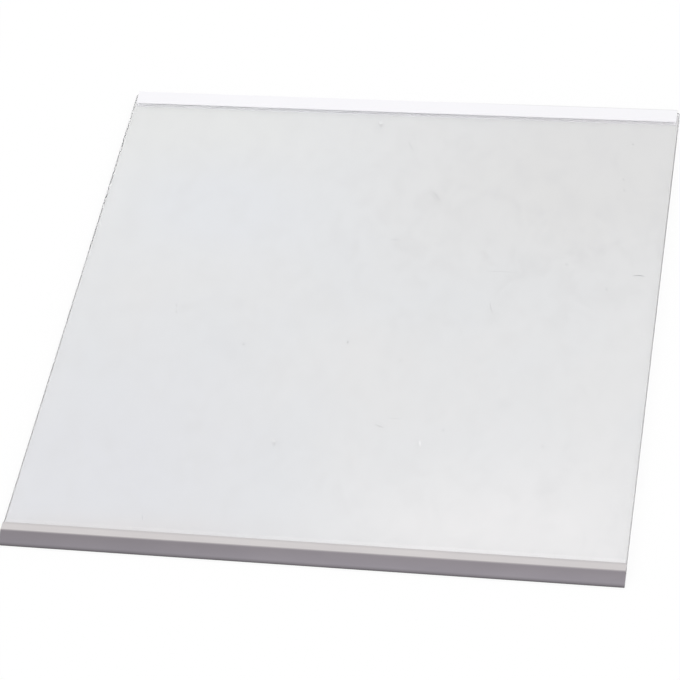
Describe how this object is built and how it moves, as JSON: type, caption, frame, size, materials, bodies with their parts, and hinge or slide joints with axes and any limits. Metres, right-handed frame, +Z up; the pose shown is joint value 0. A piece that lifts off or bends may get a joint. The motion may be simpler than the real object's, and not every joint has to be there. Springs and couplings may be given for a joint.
{
  "type": "refrigerator glass shelf",
  "caption": "Flat refrigerator shelf: a clear glass plate with a sloping silver-grey trim along its front edge and a plain white channel trim along its rear edge.",
  "frame": {"origin": "on the surface that the shelf rests on, below the middle of its outline", "axes": "+Z up, +Y from the front trim to the rear trim, +X across the shelf to the right as seen from the front"},
  "size_m": [0.44, 0.4652, 0.0066],
  "materials": {
    "clear_glass": "clear toughened float glass with ground edges, lightly scratched and smeared",
    "silver_trim": "satin silver-grey moulded plastic, pale on the flat lip and darker on the sloping nose",
    "white_trim": "satin white moulded plastic, slightly translucent"
  },
  "bodies": {
    "root": {"glass_plate": "clear_glass", "front_trim": "silver_trim", "rear_trim": "white_trim"}
  },
  "joints": []
}
